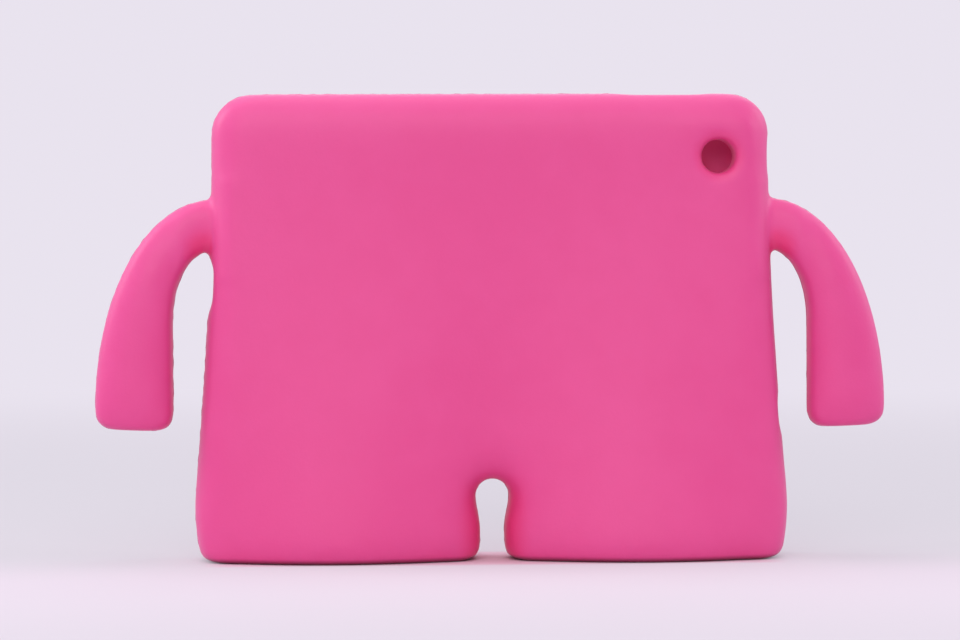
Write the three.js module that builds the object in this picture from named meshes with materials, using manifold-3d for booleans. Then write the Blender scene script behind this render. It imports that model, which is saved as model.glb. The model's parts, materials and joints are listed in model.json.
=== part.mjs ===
// Kids tablet case: one moulded piece of EVA foam that stands on two feet and has two arms as handles.
// Millimetres, +Z up. The origin is on the ground under the middle of the case.
// The back of the case faces -Y and the screen side faces +Y.
import * as THREE from "three";
import Module from "manifold-3d";

// The tablet that the case is made for, lying on its long side
const TABLET_LENGTH = 200;
const TABLET_HEIGHT = 134.7;
const TABLET_THICKNESS = 7.2;
const TABLET_CORNER = 10;
const TABLET_CLEARANCE = 0.4;
const LENS_INSET = 10;
const HOME_BUTTON_INSET = 10;
const FRONT_LENS_INSET = 8;

// Foam around the tablet
const SIDE_WALL = 10.8;
const TOP_WALL = 14.9;
const SLOT_ROOF_WALL = 2.8;
const LIP_THICKNESS = 4.5;
const LIP_SIDES = 16;
const LIP_TOP_AND_BOTTOM = 5.4;
const LIP_EDGE = 3.5;
const WINDOW_CORNER = 14;
const BACK_THICKNESS = 16;

// Rounding of the body
const TOP_CORNER = 16;
const TOP_EDGE = 12;
const SIDE_EDGE = 13;
const FOOT_SIDE_EDGE = 10;
const SIDE_FULLNESS = 2.3;
const SOLE_EDGE = 4.2;

// Feet: the body widens towards them, and each swells to the back and to the front
const FOOT_HEIGHT = 23.6;
const FOOT_FLARE = 7.4;
const FOOT_TUCK = 2.6;
const FLARE_TOP = 148;
const SWELL = 13;
const SWELL_FULLNESS = 0.7;
const BACK_SWELL_TOP = 148;
const TOE_TOP = 45;
const TOE_FULL = 10;
const SWELL_BEND = 1.5;

// Slot between the feet
const SLOT_HEIGHT = 32.4;
const SLOT_ROOF_RADIUS = 6.9;
const SLOT_WAIST = 4.8;
const SLOT_WAIST_HEIGHT = 12.8;
const SLOT_MOUTH_SPREAD = 0.6;
const SLOT_EDGE = 12;
const SLOT_FRONT_ROOF_EDGE = 4.5;
const SLOT_STRAIGHT_SHARE = 0.25;
const SLOT_REACH = 1.6;

// Arms: a shoulder, a bend and a straight hand that hangs clear of the body
const SHOULDER_DROP = 41.8;
const SHOULDER_HEIGHT = 20.3;
const ARM_GAP = 15.5;
const HAND_WIDTH = 31.3;
const HAND_CLEARANCE = 51.7;
const HAND_STRAIGHT = 8.5;
const INNER_STRAIGHT = 44;
const HAND_END = 6;
const HAND_SLANT = 1.3;
const ARM_THICKNESS = 25;
const SHOULDER_THICKNESS = 14.5;
const SHOULDER_SHARE = 0.5;
const ARM_FULLNESS = 2.6;
const SHOULDER_SEAT = 9;

// Camera hole through the back
const CAMERA_HOLE_RADIUS = 6.8;
const CAMERA_HOLE_EDGE = 3.5;

// Ports in the walls for plugs, sound and buttons, each in a shallow dish of its own depth
const PORT_HEIGHT = 7;
const PORT_CORNER = 2;
const PORT_EDGE = 3;
const CHARGING_PORT_LENGTH = 17;
const CHARGING_PORT_RISE = 6.4;
const CHARGING_DISH_DEPTH = 1.9;
const SOUND_PORT_LENGTH = 10;
const SOUND_PORT_INSET = 22.6;
const SOUND_DISH_DEPTH = 1.4;
const POWER_PORT_LENGTH = 12;
const POWER_PORT_INSET = 9.6;
const POWER_DISH_DEPTH = 0.9;
const VOLUME_PORT_LENGTH = 38;
const VOLUME_PORT_INSET = 31;
const VOLUME_DISH_DEPTH = 0.6;
const DISH_MARGIN = 4.2;
const DISH_END_SHARE = 0.5;

// Bays in the lips that leave the home button and the front lens free
const HOME_BAY_RADIUS = 8;
const FRONT_LENS_BAY_RADIUS = 5;

// Steps of the curved surfaces, and how much closer together they are towards the ground
const ACROSS_STEPS = 28;
const SIDE_STEPS = 6;
const BODY_STEPS = 17;
const BODY_CROWDING = 1.3;
const CORNER_STEPS = 7;
const ARM_STEPS = 18;
const ARM_RING_STEPS = 22;
const QUARTER_STEPS = 7;
const EDGE_STEPS = 4;
const SLOT_EDGE_STEPS = 8;
const SLOT_ROOF_STEPS = 12;
const SLOT_SIDE_STEPS = 9;
const SLOT_CROWDING = 1.4;
const DISH_STEPS = 14;

// How far the cutters go on past the surfaces, and how much of a rounded edge they cut
const BEYOND = 15;
const PORT_BEYOND = 4;
const DISH_BEYOND = 0.4;
const EDGE_SHARE = 0.95;

const FOAM_PINK = 0xe85899;
const FOAM_ROUGHNESS = 0.6;

// Places that follow from the sizes above
const POCKET_BOTTOM = SLOT_HEIGHT + SLOT_ROOF_WALL;
const POCKET_LENGTH = TABLET_LENGTH + 2 * TABLET_CLEARANCE;
const POCKET_HEIGHT = TABLET_HEIGHT + 2 * TABLET_CLEARANCE;
const POCKET_DEPTH = TABLET_THICKNESS + TABLET_CLEARANCE;
const POCKET_MIDDLE = POCKET_BOTTOM + POCKET_HEIGHT / 2;
const POCKET_TOP = POCKET_BOTTOM + POCKET_HEIGHT;
const BODY_HEIGHT = POCKET_TOP + TOP_WALL;
const BODY_SIDE = POCKET_LENGTH / 2 + SIDE_WALL;
const HALF_THICKNESS = (BACK_THICKNESS + POCKET_DEPTH + LIP_THICKNESS) / 2;
const POCKET_FLOOR = BACK_THICKNESS - HALF_THICKNESS;
const POCKET_FRONT = POCKET_FLOOR + POCKET_DEPTH;
const PORT_MIDDLE = (POCKET_FLOOR + POCKET_FRONT) / 2;
const WINDOW_LENGTH = TABLET_LENGTH - 2 * LIP_SIDES;
const WINDOW_HEIGHT = TABLET_HEIGHT - 2 * LIP_TOP_AND_BOTTOM;
const FOOT_MIDDLE = (BODY_SIDE + FOOT_FLARE + SLOT_WAIST) / 2;
const TABLET_TOP = POCKET_TOP - TABLET_CLEARANCE;

const wasm = await Module();
wasm.setup();

// The drop of a rounded edge: 0 where it starts, and the full reach where it ends
function roundedDrop(share, reach) {
  const within = Math.min(Math.max(share, 0), 1);
  return reach * (1 - Math.sqrt(1 - within * within));
}

function ease(share) {
  const within = Math.min(Math.max(share, 0), 1);
  return within * within * (3 - 2 * within);
}

function along(from, to, steps) {
  return Array.from({ length: steps + 1 }, (_, i) => from + ((to - from) * i) / steps);
}

// A point of a rounded section: fullness 2 is an ellipse, and more is squarer
function sectionPoint(angle, halfWidth, halfDepth, fullness) {
  const across = Math.cos(angle);
  const deep = Math.sin(angle);
  const power = 2 / fullness;
  return new THREE.Vector2(
    halfWidth * Math.sign(across) * Math.abs(across) ** power,
    halfDepth * Math.sign(deep) * Math.abs(deep) ** power,
  );
}

// The triangles that close one end of a loft, laid across from one side of its ring to the other
function endFaces(count, first) {
  const faces = [];
  let low = first;
  let high = first + count - 1;
  while (high - low > 1) {
    faces.push(low, low + 1, high);
    low += 1;
    if (high - low > 1) {
      faces.push(low, high - 1, high);
      high -= 1;
    }
  }
  return faces;
}

// A closed solid through rings of points, which all have the same count, with its faces pointing out
function loft(rings) {
  const count = rings[0].length;
  const last = (rings.length - 1) * count;
  const faces = endFaces(count, 0).reverse();
  for (let base = 0; base < last; base += count) {
    for (let i = 0; i < count; i++) {
      const a = base + i;
      const b = base + ((i + 1) % count);
      faces.push(a, b, b + count, a, b + count, a + count);
    }
  }
  faces.push(...endFaces(count, last));
  const vertProperties = new Float32Array(rings.flat().flatMap((point) => point.toArray()));
  const triVerts = new Uint32Array(faces);
  const made = new wasm.Manifold(new wasm.Mesh({ numProp: 3, vertProperties, triVerts }));
  if (made.volume() > 0) return made;
  triVerts.reverse();
  return new wasm.Manifold(new wasm.Mesh({ numProp: 3, vertProperties, triVerts }));
}

// How far the body's side stands out at a height, before the top corner and the sole round it off
function sideAt(z) {
  const spread = Math.min(Math.max((FLARE_TOP - z) / (FLARE_TOP - FOOT_HEIGHT), 0), 1);
  const tuck = Math.max((FOOT_HEIGHT - z) / FOOT_HEIGHT, 0);
  return BODY_SIDE + FOOT_FLARE * spread ** SWELL_BEND - FOOT_TUCK * tuck * tuck;
}

// Each foot is fullest at its middle and fades out towards the slot and the side
function footShare(x) {
  const away = (Math.abs(x) - FOOT_MIDDLE) / FOOT_MIDDLE;
  return (0.5 + 0.5 * Math.cos(Math.PI * away)) ** SWELL_FULLNESS;
}

function backAt(x, z) {
  const low = Math.min(Math.max((BACK_SWELL_TOP - z) / (BACK_SWELL_TOP - SOLE_EDGE), 0), 1);
  return HALF_THICKNESS + SWELL * footShare(x) * low ** SWELL_BEND;
}

function frontAt(x, z) {
  return HALF_THICKNESS + SWELL * footShare(x) * ease((TOE_TOP - z) / (TOE_TOP - TOE_FULL));
}

// The body's outline at one height, seen from above: its back from tip to tip, then its front
function bodyRing(z) {
  const sole = roundedDrop(1 - z / SOLE_EDGE, SOLE_EDGE);
  const corner = roundedDrop(1 - (BODY_HEIGHT - z) / TOP_CORNER, TOP_CORNER);
  const edge = roundedDrop(1 - (BODY_HEIGHT - z) / TOP_EDGE, TOP_EDGE);
  const side = sideAt(z) - corner - sole;
  const low = Math.min(Math.max((FLARE_TOP - z) / (FLARE_TOP - FOOT_HEIGHT), 0), 1);
  const round = SIDE_EDGE + (FOOT_SIDE_EDGE - SIDE_EDGE) * low;
  const flat = side - round;
  const half = (depthAt) => {
    const depth = depthAt(flat, z) - edge - sole;
    const arc = along(0, Math.PI / 2, SIDE_STEPS).slice(0, -1).map((angle) => {
      return sectionPoint(angle, round, depth, SIDE_FULLNESS);
    });
    const middle = along(-flat, flat, ACROSS_STEPS);
    return [
      ...arc.map((point) => [-flat - point.x, point.y]),
      ...middle.map((x) => [x, depthAt(x, z) - edge - sole]),
      ...arc.reverse().map((point) => [flat + point.x, point.y]),
    ];
  };
  const back = half(backAt).map(([x, depth]) => new THREE.Vector3(x, -depth, z));
  const front = half(frontAt).map(([x, depth]) => new THREE.Vector3(x, depth, z));
  return [...back, ...front.reverse().slice(1, -1)];
}

function makeBody() {
  const quarter = Math.PI / 2;
  const sole = along(0, quarter, EDGE_STEPS).map((angle) => SOLE_EDGE * (1 - Math.cos(angle)));
  const low = sole.pop();
  const high = BODY_HEIGHT - TOP_CORNER;
  const middle = along(0, 1, BODY_STEPS).map((share) => low + (high - low) * share ** BODY_CROWDING);
  const top = along(0, quarter, CORNER_STEPS).map((angle) => high + TOP_CORNER * Math.sin(angle));
  return loft([...sole, ...middle, ...top.slice(1)].map(bodyRing));
}

// The slot's half width at a height: a round roof, a waist and a mouth that spreads to the soles
function slotHalfWidth(z) {
  const roofCentre = SLOT_HEIGHT - SLOT_ROOF_RADIUS;
  const rise = ease((z - SLOT_WAIST_HEIGHT) / (roofCentre - SLOT_WAIST_HEIGHT));
  const fall = Math.max((SLOT_WAIST_HEIGHT - z) / SLOT_WAIST_HEIGHT, 0);
  const mouth = SLOT_MOUTH_SPREAD * fall * fall + roundedDrop(1 - z / SOLE_EDGE, SOLE_EDGE);
  return SLOT_WAIST + (SLOT_ROOF_RADIUS - SLOT_WAIST) * rise + mouth;
}

// The slot's outline from one mouth edge over the roof to the other, larger at its sides and its roof
function slotOutline(sideGrow, roofGrow) {
  const roofCentre = SLOT_HEIGHT - SLOT_ROOF_RADIUS;
  const heights = along(0, 1, SLOT_SIDE_STEPS).map((share) => roofCentre * share ** SLOT_CROWDING);
  const right = [-BEYOND, ...heights].map((z) => {
    const grow = sideGrow + (roofGrow - sideGrow) * ease(z / roofCentre);
    return new THREE.Vector2(slotHalfWidth(Math.max(z, 0)) + grow, z);
  });
  const roof = along(0, Math.PI, SLOT_ROOF_STEPS).slice(1, -1).map((angle) => {
    const radius = SLOT_ROOF_RADIUS + roofGrow;
    return new THREE.Vector2(radius * Math.cos(angle), roofCentre + radius * Math.sin(angle));
  });
  const left = right.map((point) => new THREE.Vector2(-point.x, point.y)).reverse();
  return [...right, ...roof, ...left];
}

// The slot's cutter follows the swell of the feet, so that its rounded edges run into their surfaces
function makeSlot() {
  const edges = along(SLOT_STRAIGHT_SHARE, 1, SLOT_EDGE_STEPS);
  const shares = [-SLOT_REACH, ...edges.map((share) => -share).reverse(), ...edges, SLOT_REACH];
  return loft(shares.map((share) => {
    const bend = (Math.abs(share) - SLOT_STRAIGHT_SHARE) / (1 - SLOT_STRAIGHT_SHARE);
    const cut = Math.min(bend, 1) * EDGE_SHARE;
    const sides = roundedDrop(cut, SLOT_EDGE);
    const roof = share < 0 ? sides : roundedDrop(cut, SLOT_FRONT_ROOF_EDGE);
    return slotOutline(sides, roof).map((point) => {
      const height = Math.max(point.y, SOLE_EDGE);
      const depth = share < 0 ? backAt(point.x, height) : frontAt(point.x, height);
      return new THREE.Vector3(point.x, share * depth, point.y);
    });
  }));
}

// The arm's upper and lower edges seen from the back, for the arm at +X
function armEdges() {
  const top = BODY_HEIGHT - SHOULDER_DROP;
  const pit = top - SHOULDER_HEIGHT;
  const bendEnd = HAND_CLEARANCE + HAND_STRAIGHT;
  const innerEnd = HAND_CLEARANCE + INNER_STRAIGHT;
  const reach = ARM_GAP + HAND_WIDTH;
  const edge = (height, side, straightTop, slant) => {
    const path = new THREE.CurvePath();
    const rise = height - straightTop;
    const bend = new THREE.EllipseCurve(BODY_SIDE, straightTop, side, rise, Math.PI / 2, 0, true);
    const start = new THREE.Vector2(BODY_SIDE - SHOULDER_SEAT, height);
    const end = new THREE.Vector2(BODY_SIDE + side, HAND_CLEARANCE + HAND_END + slant);
    path.add(new THREE.LineCurve(start, bend.getPoint(0)));
    path.add(bend);
    path.add(new THREE.LineCurve(bend.getPoint(1), end));
    return path;
  };
  return [edge(top, reach, bendEnd, HAND_SLANT), edge(pit, ARM_GAP, innerEnd, 0)];
}

// The arm is thinner at the shoulder, where it leaves the body's rounded side, than at the hand
function armThickness(share) {
  return SHOULDER_THICKNESS + (ARM_THICKNESS - SHOULDER_THICKNESS) * ease(share / SHOULDER_SHARE);
}

// One ring of the arm between a point on its upper edge and one on its lower edge
function armRing(upper, lower, thickness, inset) {
  const middle = upper.clone().add(lower).divideScalar(2);
  const half = upper.clone().sub(lower).divideScalar(2);
  const width = half.length() - inset;
  half.normalize();
  return along(0, 2 * Math.PI, ARM_RING_STEPS).slice(0, -1).map((angle) => {
    const point = sectionPoint(angle, width, thickness / 2 - inset, ARM_FULLNESS);
    return new THREE.Vector3(middle.x + half.x * point.x, point.y, middle.y + half.y * point.x);
  });
}

function makeArm(side) {
  const [upper, lower] = armEdges();
  const rings = along(0, 1, ARM_STEPS).map((share) => {
    return armRing(upper.getPointAt(share), lower.getPointAt(share), armThickness(share), 0);
  });
  for (const angle of along(0, Math.PI / 2, EDGE_STEPS).slice(1)) {
    const down = new THREE.Vector2(0, -HAND_END * Math.sin(angle));
    const inset = HAND_END * (1 - Math.cos(angle));
    const [top, bottom] = [upper, lower].map((path) => path.getPoint(1).add(down));
    rings.push(armRing(top, bottom, ARM_THICKNESS, inset));
  }
  rings.forEach((ring) => ring.forEach((point) => (point.x *= side)));
  return loft(rings);
}

// A rounded rectangle, larger all round by an amount
function roundedRectangle(width, height, radius, grow) {
  const corner = radius + grow;
  const points = [];
  for (let quarter = 0; quarter < 4; quarter++) {
    const across = quarter === 0 || quarter === 3 ? 1 : -1;
    const up = quarter < 2 ? 1 : -1;
    for (const angle of along(0, Math.PI / 2, QUARTER_STEPS)) {
      const turned = angle + (quarter * Math.PI) / 2;
      points.push(new THREE.Vector2(
        across * (width / 2 - radius) + corner * Math.cos(turned),
        up * (height / 2 - radius) + corner * Math.sin(turned),
      ));
    }
  }
  return points;
}

function circle(radius) {
  return along(0, 2 * Math.PI, 4 * QUARTER_STEPS).slice(0, -1).map((angle) => {
    return new THREE.Vector2(radius * Math.cos(angle), radius * Math.sin(angle));
  });
}

// A hole from inside the foam to its surface, where a rounded edge widens it, and on past it
function makeHole(outline, place, start, surface, edge, beyond) {
  const outward = Math.sign(surface - start);
  const mouth = along(0, 1, EDGE_STEPS).map((share) => {
    return [surface - outward * edge * (1 - share), roundedDrop(share * EDGE_SHARE, edge)];
  });
  const end = [surface + outward * beyond, roundedDrop(EDGE_SHARE, edge)];
  const levels = [[start, 0], ...mouth, end];
  return loft(levels.map(([level, grow]) => outline(grow).map((point) => place(point, level))));
}

// Holes that run along Y
function makeFaceHole(outline, x, z, start, surface, edge) {
  const place = (point, level) => new THREE.Vector3(x + point.x, level, z + point.y);
  return makeHole(outline, place, start, surface, edge, BEYOND);
}

function makePocket() {
  const corner = TABLET_CORNER + TABLET_CLEARANCE;
  const outline = roundedRectangle(POCKET_LENGTH, POCKET_HEIGHT, corner, 0);
  return loft([POCKET_FLOOR, POCKET_FRONT].map((y) => {
    return outline.map((point) => new THREE.Vector3(point.x, y, POCKET_MIDDLE + point.y));
  }));
}

function makeWindow() {
  const outline = (grow) => roundedRectangle(WINDOW_LENGTH, WINDOW_HEIGHT, WINDOW_CORNER, grow);
  return makeFaceHole(outline, 0, POCKET_MIDDLE, PORT_MIDDLE, HALF_THICKNESS, LIP_EDGE);
}

// A bay with a round end that reaches from what it leaves free to the window
function makeBay(side, inset, radius) {
  const reach = LIP_SIDES - inset + 2 * radius + LIP_EDGE;
  const outline = (grow) => roundedRectangle(reach, 2 * radius, radius, grow);
  const x = side * (TABLET_LENGTH / 2 - inset + radius - reach / 2);
  return makeFaceHole(outline, x, POCKET_MIDDLE, PORT_MIDDLE, HALF_THICKNESS, LIP_EDGE);
}

function makeCameraHole() {
  const outline = (grow) => circle(CAMERA_HOLE_RADIUS + grow);
  const x = TABLET_LENGTH / 2 - LENS_INSET;
  const z = TABLET_TOP - LENS_INSET;
  return makeFaceHole(outline, x, z, PORT_MIDDLE, -HALF_THICKNESS, CAMERA_HOLE_EDGE);
}

// A shallow dish that runs across a wall from the back to the front, with ends that fade out
function makeDish(place, surfaceAt, middle, portLength, depth) {
  const half = portLength / 2 + DISH_MARGIN;
  const floor = along(-1, 1, DISH_STEPS).map((share) => {
    const cut = (depth + DISH_BEYOND) * ease((1 - Math.abs(share)) / DISH_END_SHARE);
    const at = middle + share * half;
    return [at, surfaceAt(at) + DISH_BEYOND - cut];
  });
  const outer = surfaceAt(middle) + PORT_BEYOND;
  const outline = [...floor, [middle + half, outer], [middle - half, outer]];
  return loft([-BEYOND, BEYOND].map((y) => outline.map(([at, level]) => place(at, level, y))));
}

// A port and its dish through one of the two side walls, centred at a height
function makeSidePort(side, z, length, depth) {
  const outline = (grow) => roundedRectangle(PORT_HEIGHT, length, PORT_CORNER, grow);
  const place = (point, level) => new THREE.Vector3(level, PORT_MIDDLE + point.x, z + point.y);
  const start = side * (TABLET_LENGTH / 2 - TABLET_CORNER);
  const hole = makeHole(outline, place, start, side * (sideAt(z) - depth), PORT_EDGE, PORT_BEYOND);
  const dishPlace = (at, level, y) => new THREE.Vector3(side * level, y, at);
  return hole.add(makeDish(dishPlace, sideAt, z, length, depth));
}

// A port and its dish through the top wall
function makeTopPort(x, length, depth) {
  const outline = (grow) => roundedRectangle(length, PORT_HEIGHT, PORT_CORNER, grow);
  const place = (point, level) => new THREE.Vector3(x + point.x, PORT_MIDDLE + point.y, level);
  const start = TABLET_TOP - TABLET_CORNER;
  const hole = makeHole(outline, place, start, BODY_HEIGHT - depth, PORT_EDGE, PORT_BEYOND);
  const dishPlace = (at, level, y) => new THREE.Vector3(at, y, level);
  return hole.add(makeDish(dishPlace, () => BODY_HEIGHT, x, length, depth));
}

function makeCase() {
  const cutters = [
    makeSlot(),
    makePocket(),
    makeWindow(),
    makeBay(-1, HOME_BUTTON_INSET, HOME_BAY_RADIUS),
    makeBay(1, FRONT_LENS_INSET, FRONT_LENS_BAY_RADIUS),
    makeCameraHole(),
    makeSidePort(-1, POCKET_MIDDLE + CHARGING_PORT_RISE, CHARGING_PORT_LENGTH, CHARGING_DISH_DEPTH),
    makeSidePort(1, POCKET_BOTTOM + SOUND_PORT_INSET, SOUND_PORT_LENGTH, SOUND_DISH_DEPTH),
    makeSidePort(1, TABLET_TOP - POWER_PORT_INSET, POWER_PORT_LENGTH, POWER_DISH_DEPTH),
    makeTopPort(TABLET_LENGTH / 2 - VOLUME_PORT_INSET, VOLUME_PORT_LENGTH, VOLUME_DISH_DEPTH),
  ];
  const whole = makeBody().add(makeArm(1)).add(makeArm(-1));
  return cutters.reduce((foam, cutter) => foam.subtract(cutter), whole);
}

// A solid as a geometry for a mesh
function geometryOf(made) {
  const { vertProperties, triVerts } = made.getMesh();
  const geometry = new THREE.BufferGeometry();
  geometry.setAttribute("position", new THREE.BufferAttribute(new Float32Array(vertProperties), 3));
  geometry.setIndex(new THREE.BufferAttribute(new Uint32Array(triVerts), 1));
  geometry.computeVertexNormals();
  return geometry;
}

const foam = new THREE.MeshStandardMaterial({
  color: FOAM_PINK,
  roughness: FOAM_ROUGHNESS,
  metalness: 0,
});
const foamCase = new THREE.Mesh(geometryOf(makeCase()), foam);
foamCase.name = "foam_case";

const tabletCase = new THREE.Group();
tabletCase.add(foamCase);
export default tabletCase;
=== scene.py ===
"""The kids tablet case as moulded foam, standing on a pale sweep and seen from its back.

Metres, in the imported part's frame: the back faces -Y, +Z is up, and the ground is z = 0.
A name that ends in REACH, SIDES, HEIGHTS, DEPTH, TOP or EDGE holds the two ends of a fade or of
a range.
"""

import json
import math

import bmesh
import bpy
from mathutils import Matrix, Quaternion, Vector, noise


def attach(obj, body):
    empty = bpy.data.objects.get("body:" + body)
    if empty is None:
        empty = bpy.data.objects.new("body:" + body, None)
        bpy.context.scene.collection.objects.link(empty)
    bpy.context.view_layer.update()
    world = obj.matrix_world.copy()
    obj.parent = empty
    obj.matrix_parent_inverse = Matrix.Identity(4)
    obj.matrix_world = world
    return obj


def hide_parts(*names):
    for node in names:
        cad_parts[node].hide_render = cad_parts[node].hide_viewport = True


# Foam skin: the grid that it is laid on, and how soft its edges are
SKIN_GRID = 0.00132
CRISP_PASSES = 3
EDGE_PASSES = 9
BROAD_PASSES = 70
SMOOTHING = 0.5
BROAD_FACING = 0.6
CRISP_MARGIN = 0.0035
BROAD_MARGIN = 0.009
SHOULDER_SIDES = (0.102, 0.124)
SHOULDER_HEIGHTS = (0.112, 0.152)
CRISP_OPENINGS = (
    "screen_window",
    "home_button_bay",
    "front_lens_bay",
    "camera_hole",
    "charging_port",
    "sound_port",
    "power_port",
    "volume_port",
)

# Parting line, where the two halves of the mould meet
LINE_HALF_WIDTH = 0.0004
LINE_HEIGHT = 0.0001
LINE_RAGGEDNESS = 0.0003
LINE_PITCH = 0.003
LINE_SHADE_REACH = (0.4 * LINE_HALF_WIDTH, 1.3 * LINE_HALF_WIDTH)
LINE_SHADE_SHARE = 0.6

# Points that lie closer together than this count as one
TOUCHING = 1e-6

# Creases, painted a darker, richer pink as painted shade: the slot, the armpits, the hands and the
# camera hole
SLOT_CREASE_REACH = (0.006, 0.016)
SLOT_CREASE_TOP = (0.022, 0.036)
ARMPIT = (0.1145, -0.006, 0.1245)
ARMPIT_REACH = (0.003, 0.0100)
BODY_EDGE = (0.1100, 0.1115)
HAND_CREASE = 0.1232
HAND_CREASE_REACH = (0.001, 0.0055)
HAND_CREASE_TOP = (0.090, 0.110)
CAMERA_CREASE = (0.090, -0.012, 0.1603)
CAMERA_CREASE_REACH = (0.0075, 0.0120)
CAMERA_CREASE_SHARE = 0.5
CREASE_SHADE_SHARE = 0.75

# Painted shade that darkens the rim of the soles, where they meet the floor
SOLE_SHADE_REACH = (0.0004, 0.0026)
SOLE_SHADE_SHARE = 0.85

# Foam's grain: wide clouds and a mottle in its colour, and a pebble, a peel and pores in its relief
CLOUD_SIZE = 0.11
CLOUD_SHARE = 0.6
MOTTLE_SIZE = 0.016
MOTTLE_DETAIL = 3.0
MOTTLE_SHARE = 0.4
TINT_REACH = (0.35, 0.65)
PEBBLE_SIZE = 0.0011
PEBBLE_DETAIL = 2.0
PEBBLE_ROUGHNESS = 0.55
PEBBLE_HEIGHT = 0.00006
PEEL_SIZE = 0.0045
PEEL_HEIGHT = 0.00007
PORE_SIZE = 0.0016
PORE_HEIGHT = 0.00002
RELIEF_STRENGTH = 0.6

# How rough the smoothest foam is, and what its mottle, its pebble and the parting line add
FOAM_ROUGHNESS = 0.41
MOTTLE_ADDS = 0.12
PEBBLE_ADDS = 0.10
LINE_ADDS = 0.10

# Camera, turned a little round the case as in the photograph. Its lens and sensor are in mm.
CAMERA_TURN = math.radians(2.65)
CAMERA_ROLL = math.radians(0.23)
CAMERA_DISTANCE = 1.30
CAMERA_HEIGHT = 0.133
CAMERA_AIM = Vector((-0.0045, 0, 0.0954))
CAMERA_LENS = 122.05
CAMERA_SENSOR = 36
CAMERA_NEAREST = 0.05

# Sweep behind and under the case
FLOOR_WIDTH = 9.0
FLOOR_FRONT = -4.5
FLOOR_BACK = 3.7
BEND_RADIUS = 0.8
BEND_STEPS = 24
WALL_HEIGHT = 2.4
WALL_LIGHT_REACH = (0.25, 1.4)
FLOOR_LIGHT_SHARE = 0.45
FEET_SIDES = (0.104, 0.118)
FEET_DEPTH = (0.021, 0.030)
NEAR_FLOOR_REACH = (-0.35, -0.07)
FAR_FLOOR_REACH = (-0.07, 0.05)
UNEVENNESS = 0.02
UNEVEN_SIZE = 0.5

# Colours, as linear light
FOAM_PINK = (0.778, 0.062, 0.274, 1)
FOAM_PALE = (0.800, 0.072, 0.293, 1)
# The darker, richer pink of the painted shade in the creases
FOAM_CREASE_SHADE = (0.800, 0.030, 0.178, 1)
# The parting line's darker colour, also used for the painted shade at the rim of the soles
FOAM_DEEP = (0.230, 0.006, 0.050, 1)
FOAM_BLOOM = (1.0, 0.56, 0.76, 1)
# Paper, painted lightest round the case, darker in front and darkest behind it, as painted light
FRONT_FLOOR_COLOUR = (0.648, 0.558, 0.632, 1)
NEAR_FLOOR_COLOUR = (0.755, 0.615, 0.722, 1)
FAR_FLOOR_COLOUR = (0.570, 0.505, 0.560, 1)
# Pink painted reflection of the foam on the paper round the feet
FEET_PAINTED_BOUNCE = (0.745, 0.535, 0.640, 1)
WALL_LIGHT = (0.815, 0.768, 0.860, 1)
SKY_COLOUR = (0.97, 0.94, 1.0, 1)
SKY_STRENGTH = 0.43
WHITE_LIGHT = (1, 1, 1)
SIDE_LIGHT = (0.78, 1.0, 0.96)

# Lamps: name, place, aim, width, height, watts and colour
LAMPS = (
    ("overhead", (-0.1, 0.0, 1.5), (0, 0, 0.1), 1.6, 1.0, 7.0, WHITE_LIGHT),
    ("front", (-0.35, -2.1, 1.3), (0, 0, 0.12), 1.8, 1.4, 24.0, WHITE_LIGHT),
    ("back_left", (-1.5, 0.2, 1.0), (0, 0, 0.12), 1.0, 1.0, 16.0, SIDE_LIGHT),
    ("screen_side", (0.4, 2.4, 1.3), (0, 0, 0.1), 1.8, 1.4, 10.0, WHITE_LIGHT),
    ("back_right", (1.5, 0.2, 0.9), (0, 0, 0.12), 1.0, 1.0, 11.0, SIDE_LIGHT),
)


class Value:
    """A number that changes over a surface. Python's operators on it add Math nodes."""

    def __init__(self, finish, socket):
        self.finish = finish
        self.socket = socket

    def maths(self, operation, *operands):
        inputs = dict(enumerate(operands))
        return self.finish.node("ShaderNodeMath", {"operation": operation}, inputs)

    def __add__(self, other):
        return self.maths("ADD", self, other)

    def __sub__(self, other):
        return self.maths("SUBTRACT", self, other)

    def __rsub__(self, other):
        return self.maths("SUBTRACT", other, self)

    def __mul__(self, other):
        return self.maths("MULTIPLY", self, other)

    def __abs__(self):
        return self.maths("ABSOLUTE", self)

    __radd__ = __add__
    __rmul__ = __mul__


def pick(sockets, key):
    """The socket of this number, or the one in use of those that share this name."""
    if isinstance(key, int):
        return sockets[key]
    return next(each for each in sockets if each.name == key and each.enabled)


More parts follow.
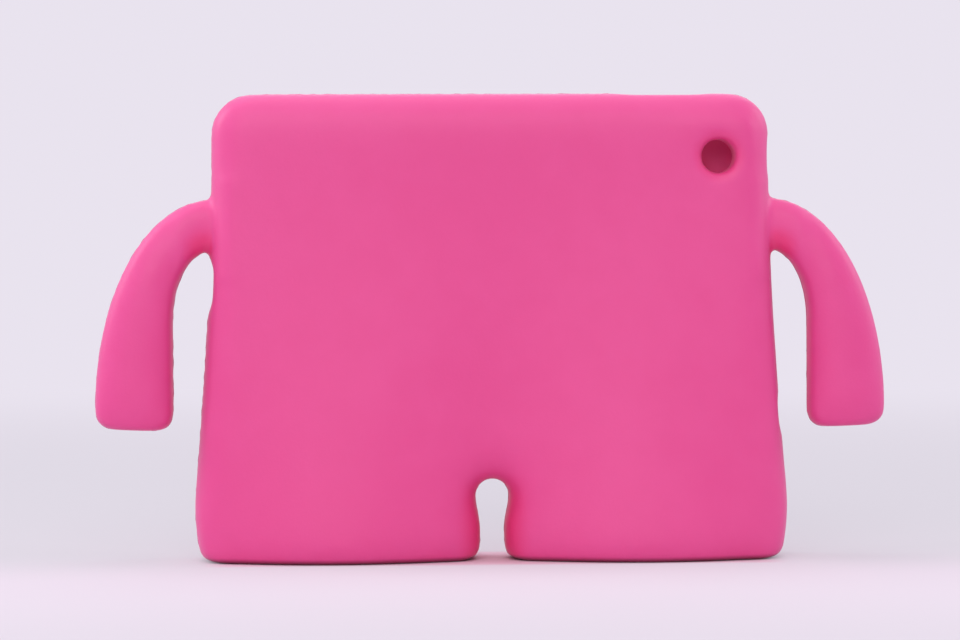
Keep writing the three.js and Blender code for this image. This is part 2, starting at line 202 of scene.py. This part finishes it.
class Finish:
    """A material, or the world, made of nodes, each of which comes from node()."""

    def __init__(self, owner):
        self.owner = owner
        self.owner.use_nodes = True
        self.tree = self.owner.node_tree
        self.tree.nodes.clear()

    def node(self, kind, settings, inputs, output=0):
        """Adds a node, sets or links its inputs and gives one of its outputs."""
        made = self.tree.nodes.new(kind)
        for name, setting in settings.items():
            setattr(made, name, setting)
        for key, given in inputs.items():
            socket = pick(made.inputs, key)
            if isinstance(given, Value):
                self.tree.links.new(given.socket, socket)
            else:
                socket.default_value = given
        return Value(self, pick(made.outputs, output)) if made.outputs else None

    def place(self):
        """Where a point lies on its object."""
        return self.node("ShaderNodeTexCoord", {}, {}, "Object")

    def along(self, axis):
        """Where a point lies along X, Y or Z."""
        return self.node("ShaderNodeSeparateXYZ", {}, {"Vector": self.place()}, axis)

    def distance(self, spot):
        """How far a point lies from the spot."""
        inputs = {0: self.place(), 1: spot}
        return self.node("ShaderNodeVectorMath", {"operation": "DISTANCE"}, inputs, "Value")

    def clouds(self, size, detail=2.0, roughness=0.5):
        """Soft noise about a middle of 0.5, whose patches are about this size."""
        inputs = {
            "Vector": self.place(),
            "Scale": 1 / size,
            "Detail": detail,
            "Roughness": roughness,
        }
        return self.node("ShaderNodeTexNoise", {}, inputs)

    def cells(self, size):
        """Closed cells of about this size, 0 at their middles."""
        inputs = {"Vector": self.place(), "Scale": 1 / size}
        return self.node("ShaderNodeTexVoronoi", {"feature": "SMOOTH_F1"}, inputs)

    def fade(self, value, reach):
        """0 where the value is at the reach's low end, 1 where it is at the high end."""
        inputs = {"Value": value, "From Min": reach[0], "From Max": reach[1]}
        return self.node("ShaderNodeMapRange", {"interpolation_type": "SMOOTHSTEP"}, inputs)

    def near(self, value, reach):
        """1 where the value is at the reach's low end, 0 where it is at the high end."""
        return 1 - self.fade(value, reach)

    def blend(self, share, first, second):
        """The first colour where the share is 0, and the second where it is 1."""
        inputs = {"Factor": share, "A": first, "B": second}
        return self.node("ShaderNodeMix", {"data_type": "RGBA"}, inputs, "Result")

    def seen(self):
        """1 for the rays that carry a picture to the camera, and 0 for those that light."""
        kinds = ("Is Camera Ray", "Is Glossy Ray", "Is Transmission Ray")
        return sum(self.node("ShaderNodeLightPath", {}, {}, kind) for kind in kinds)

    def surface(self, shader, kind="ShaderNodeOutputMaterial"):
        """Ends the nodes with this shader, and gives the finished material or world."""
        self.node(kind, {}, {"Surface": shader})
        return self.owner


def crease_shade_mask(foam):
    """Where painted shade goes: 1 in the creases and 0 on the open faces."""
    across = abs(foam.along("X"))
    height = foam.along("Z")
    slot = foam.near(across, SLOT_CREASE_REACH) * foam.near(height, SLOT_CREASE_TOP)
    hands = foam.near(abs(across - HAND_CREASE), HAND_CREASE_REACH)
    hands = hands * foam.near(height, HAND_CREASE_TOP)
    spots = (ARMPIT, (-ARMPIT[0], *ARMPIT[1:]))
    armpits = sum(foam.near(foam.distance(spot), ARMPIT_REACH) for spot in spots)
    armpits = armpits * foam.fade(across, BODY_EDGE)
    camera = foam.near(foam.distance(CAMERA_CREASE), CAMERA_CREASE_REACH)
    return slot + hands + armpits + CAMERA_CREASE_SHARE * camera


def foam_finish():
    """Moulded foam: a satin skin with a fine pebble, faint clouds and a darker parting line, with
    painted shade in the creases and along the rims of the soles.
    """
    foam = Finish(bpy.data.materials.new("pink_moulded_foam"))
    line = foam.near(abs(foam.along("Y")), LINE_SHADE_REACH)
    sole = foam.near(foam.along("Z"), SOLE_SHADE_REACH)
    mottle = foam.clouds(MOTTLE_SIZE, MOTTLE_DETAIL)
    pebble = foam.clouds(PEBBLE_SIZE, PEBBLE_DETAIL, PEBBLE_ROUGHNESS)
    tint = CLOUD_SHARE * foam.clouds(CLOUD_SIZE) + MOTTLE_SHARE * mottle
    colour = foam.blend(foam.fade(tint, TINT_REACH), FOAM_PINK, FOAM_PALE)
    # Painted shade: the creases turn a darker, richer pink
    colour = foam.blend(CREASE_SHADE_SHARE * crease_shade_mask(foam), colour, FOAM_CREASE_SHADE)
    # Painted shade along the rim of the soles
    colour = foam.blend(SOLE_SHADE_SHARE * sole, colour, FOAM_DEEP)
    colour = foam.blend(LINE_SHADE_SHARE * line, colour, FOAM_DEEP)
    roughness = FOAM_ROUGHNESS + MOTTLE_ADDS * mottle + PEBBLE_ADDS * pebble + LINE_ADDS * line
    relief = PEBBLE_HEIGHT * pebble + PEEL_HEIGHT * foam.clouds(PEEL_SIZE)
    relief = relief + PORE_HEIGHT * foam.cells(PORE_SIZE)
    bump = {"Height": relief, "Strength": RELIEF_STRENGTH, "Distance": 1.0}
    skin = {
        "Base Color": colour,
        "Roughness": roughness,
        "Normal": foam.node("ShaderNodeBump", {}, bump),
        "Specular IOR Level": 0.5,
        "Sheen Weight": 0.2,
        "Sheen Roughness": 0.4,
        "Sheen Tint": FOAM_BLOOM,
        "Subsurface Weight": 0.08,
        "Subsurface Radius": (1.0, 0.25, 0.45),
        "Subsurface Scale": 0.002,
    }
    return foam.surface(foam.node("ShaderNodeBsdfPrincipled", {}, skin))


def sweep_finish():
    """Matt paper, a touch uneven, with painted light that is lightest round the case and a painted
    pink reflection round the feet, whose wall shows the camera a plain pale light.
    """
    sweep = Finish(bpy.data.materials.new("pale_sweep"))
    away = sweep.along("Y")
    uneven = away + UNEVENNESS * sweep.clouds(UNEVEN_SIZE)
    far = sweep.fade(uneven, FAR_FLOOR_REACH)
    near = sweep.fade(uneven, NEAR_FLOOR_REACH)
    at_feet = sweep.near(abs(sweep.along("X")), FEET_SIDES) * sweep.near(abs(away), FEET_DEPTH)
    clear = 1 - at_feet
    # Painted light: the paper is lightest round the case and darkest behind it
    colour = sweep.blend(far, NEAR_FLOOR_COLOUR, FAR_FLOOR_COLOUR)
    colour = sweep.blend(near, FRONT_FLOOR_COLOUR, colour)
    # Painted reflection: the paper round the feet turns pink
    colour = sweep.blend(clear, FEET_PAINTED_BOUNCE, colour)
    matt = {"Base Color": colour, "Roughness": 0.9, "Specular IOR Level": 0.1}
    paper = sweep.node("ShaderNodeBsdfPrincipled", {}, matt)
    wall = sweep.node("ShaderNodeEmission", {}, {"Color": WALL_LIGHT, "Strength": 1.0})
    wall_share = sweep.fade(sweep.distance((0, 0, 0)), WALL_LIGHT_REACH)
    light_share = FLOOR_LIGHT_SHARE * clear + (1 - FLOOR_LIGHT_SHARE) * wall_share
    inputs = {0: light_share * sweep.seen(), 1: paper, 2: wall}
    return sweep.surface(sweep.node("ShaderNodeMixShader", {}, inputs))


def studio_sky():
    """An even sky that lights softly, and that the camera sees as pale as the wall."""
    sky = Finish(bpy.data.worlds.new("studio_sky"))
    light = sky.node("ShaderNodeBackground", {}, {"Color": SKY_COLOUR, "Strength": SKY_STRENGTH})
    view = sky.node("ShaderNodeBackground", {}, {"Color": WALL_LIGHT, "Strength": 1.0})
    shader = sky.node("ShaderNodeMixShader", {}, {0: sky.seen(), 1: light, 2: view})
    return sky.surface(shader, "ShaderNodeOutputWorld")


def add_object(name, data):
    made = bpy.data.objects.new(name, data)
    bpy.context.scene.collection.objects.link(made)
    return made


def write_smooth(shape, mesh, material):
    """Writes the shape to the mesh, shaded smooth and with this one material."""
    for face in shape.faces:
        face.smooth = True
    shape.to_mesh(mesh)
    shape.free()
    mesh.materials.clear()
    mesh.materials.append(material)


def crisp_boxes(margin):
    """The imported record's boxes of the crisp openings, larger by the margin all round."""
    boxes = []
    for opening in frame["record"]["physics"]["openings"]:
        if opening["name"] in CRISP_OPENINGS:
            low, high = opening["box_m"]
            boxes.append(([each - margin for each in low], [each + margin for each in high]))
    return boxes


def is_between(number, ends):
    return ends[0] <= number <= ends[1]


def is_inside(point, boxes):
    return any(all(map(is_between, point, zip(low, high))) for low, high in boxes)


def is_on_shoulder(point):
    return is_between(abs(point.x), SHOULDER_SIDES) and is_between(point.z, SHOULDER_HEIGHTS)


def lay_skin(piece):
    """Lays an even grid of faces over the piece, in place of its long thin triangles."""
    grid = piece.modifiers.new("even_grid", "REMESH")
    grid.mode = "VOXEL"
    grid.voxel_size = SKIN_GRID
    shown = piece.evaluated_get(bpy.context.evaluated_depsgraph_get())
    laid = bpy.data.meshes.new_from_object(shown)
    piece.modifiers.clear()
    piece.data = laid


def soften(skin):
    """Rounds the edges: least at the openings and the shoulders, most on the broad faces."""
    crisp = crisp_boxes(CRISP_MARGIN)
    around = crisp_boxes(BROAD_MARGIN)
    skin.normal_update()
    edges = [
        vert
        for vert in skin.verts
        if not is_inside(vert.co, crisp) and not is_on_shoulder(vert.co)
    ]
    broad = [
        vert
        for vert in edges
        if abs(vert.normal.y) > BROAD_FACING and not is_inside(vert.co, around)
    ]
    rounds = ((broad, BROAD_PASSES), (edges, EDGE_PASSES), (skin.verts, CRISP_PASSES))
    for verts, passes in rounds:
        for _ in range(passes):
            bmesh.ops.smooth_vert(
                skin,
                verts=verts,
                factor=SMOOTHING,
                use_axis_x=True,
                use_axis_y=True,
                use_axis_z=True,
            )


def raise_parting_line(skin):
    """Cuts a narrow strip round the middle and lifts its crest by an uneven amount."""
    for offset in (-LINE_HALF_WIDTH, 0, LINE_HALF_WIDTH):
        bmesh.ops.bisect_plane(
            skin,
            geom=[*skin.verts, *skin.edges, *skin.faces],
            dist=TOUCHING,
            plane_co=(0, offset, 0),
            plane_no=(0, 1, 0),
        )
    skin.normal_update()
    crisp = crisp_boxes(CRISP_MARGIN)
    crest = [
        vert for vert in skin.verts if abs(vert.co.y) < TOUCHING and not is_inside(vert.co, crisp)
    ]
    for vert in crest:
        height = LINE_HEIGHT + LINE_RAGGEDNESS * noise.noise(vert.co / LINE_PITCH)
        outward = Vector((vert.normal.x, 0, vert.normal.z)).normalized()
        vert.co += outward * max(height, 0)
        vert.co.z = max(vert.co.z, 0)


def make_case():
    """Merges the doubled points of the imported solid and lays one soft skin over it."""
    mesh = frame["nodes"]["foam_case"].data.copy()
    case = add_object("soft_foam_case", mesh)
    solid = bmesh.new()
    solid.from_mesh(mesh)
    bmesh.ops.remove_doubles(solid, verts=solid.verts, dist=TOUCHING)
    solid.to_mesh(mesh)
    solid.free()
    lay_skin(case)
    skin = bmesh.new()
    skin.from_mesh(case.data)
    soften(skin)
    raise_parting_line(skin)
    write_smooth(skin, case.data, foam_finish())
    return case


def of_kind(parts, kind):
    return [part for part in parts if isinstance(part, kind)]


def make_sweep():
    """A floor that bends up into a wall."""
    sheet = bmesh.new()
    ends = [sheet.verts.new((side * FLOOR_WIDTH / 2, FLOOR_FRONT, 0)) for side in (-1, 1)]
    front_edge = sheet.edges.new(ends)

    def pull(edges, step):
        """Draws a face from the edges, and gives the edges at its far side."""
        pulled = bmesh.ops.extrude_edge_only(sheet, edges=edges)["geom"]
        bmesh.ops.translate(sheet, verts=of_kind(pulled, bmesh.types.BMVert), vec=step)
        return of_kind(pulled, bmesh.types.BMEdge)

    bend = bmesh.ops.spin(
        sheet,
        geom=pull([front_edge], (0, FLOOR_BACK - FLOOR_FRONT, 0)),
        cent=(0, FLOOR_BACK, BEND_RADIUS),
        axis=(1, 0, 0),
        angle=math.pi / 2,
        steps=BEND_STEPS,
    )["geom_last"]
    pull(of_kind(bend, bmesh.types.BMEdge), (0, 0, WALL_HEIGHT))
    mesh = bpy.data.meshes.new("sweep")
    write_smooth(sheet, mesh, sweep_finish())
    return add_object("sweep", mesh)


def make_lamp(name, place, aim, width, height, watts, colour):
    lamp = bpy.data.lights.new(name, "AREA")
    lamp.shape = "RECTANGLE"
    lamp.size = width
    lamp.size_y = height
    lamp.energy = watts
    lamp.color = colour
    holder = add_object(name, lamp)
    holder.location = place
    holder.rotation_mode = "QUATERNION"
    holder.rotation_quaternion = (Vector(aim) - Vector(place)).to_track_quat("-Z", "Y")


def light_studio():
    bpy.context.scene.world = studio_sky()
    for lamp in LAMPS:
        make_lamp(*lamp)


def place_camera():
    """Turns the camera round the case by CAMERA_TURN, then rolls it by CAMERA_ROLL."""
    lens = bpy.data.cameras.new("portrait")
    lens.lens = CAMERA_LENS
    lens.sensor_width = CAMERA_SENSOR
    lens.clip_start = CAMERA_NEAREST
    camera = add_object("portrait", lens)
    back = Vector((-math.sin(CAMERA_TURN), -math.cos(CAMERA_TURN), 0)) * CAMERA_DISTANCE
    aim = Matrix.Rotation(-CAMERA_TURN, 3, "Z") @ CAMERA_AIM
    camera.location = Vector((aim.x, aim.y, CAMERA_HEIGHT)) + back
    camera.rotation_mode = "QUATERNION"
    level = (aim - camera.location).to_track_quat("-Z", "Y")
    camera.rotation_quaternion = level @ Quaternion((0, 0, 1), -CAMERA_ROLL)
    bpy.context.scene.camera = camera


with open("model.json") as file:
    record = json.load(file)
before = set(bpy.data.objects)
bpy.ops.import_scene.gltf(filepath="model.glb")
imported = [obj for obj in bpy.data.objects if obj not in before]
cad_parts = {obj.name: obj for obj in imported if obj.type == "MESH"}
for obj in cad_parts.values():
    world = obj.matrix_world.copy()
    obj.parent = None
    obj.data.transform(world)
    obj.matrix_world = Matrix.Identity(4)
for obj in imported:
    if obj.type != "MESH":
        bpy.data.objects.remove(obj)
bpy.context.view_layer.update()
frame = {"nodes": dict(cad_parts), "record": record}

case = make_case()
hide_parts("foam_case")
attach(case, "root")

make_sweep()
light_studio()
place_camera()
bpy.context.scene.view_settings.view_transform = "Standard"
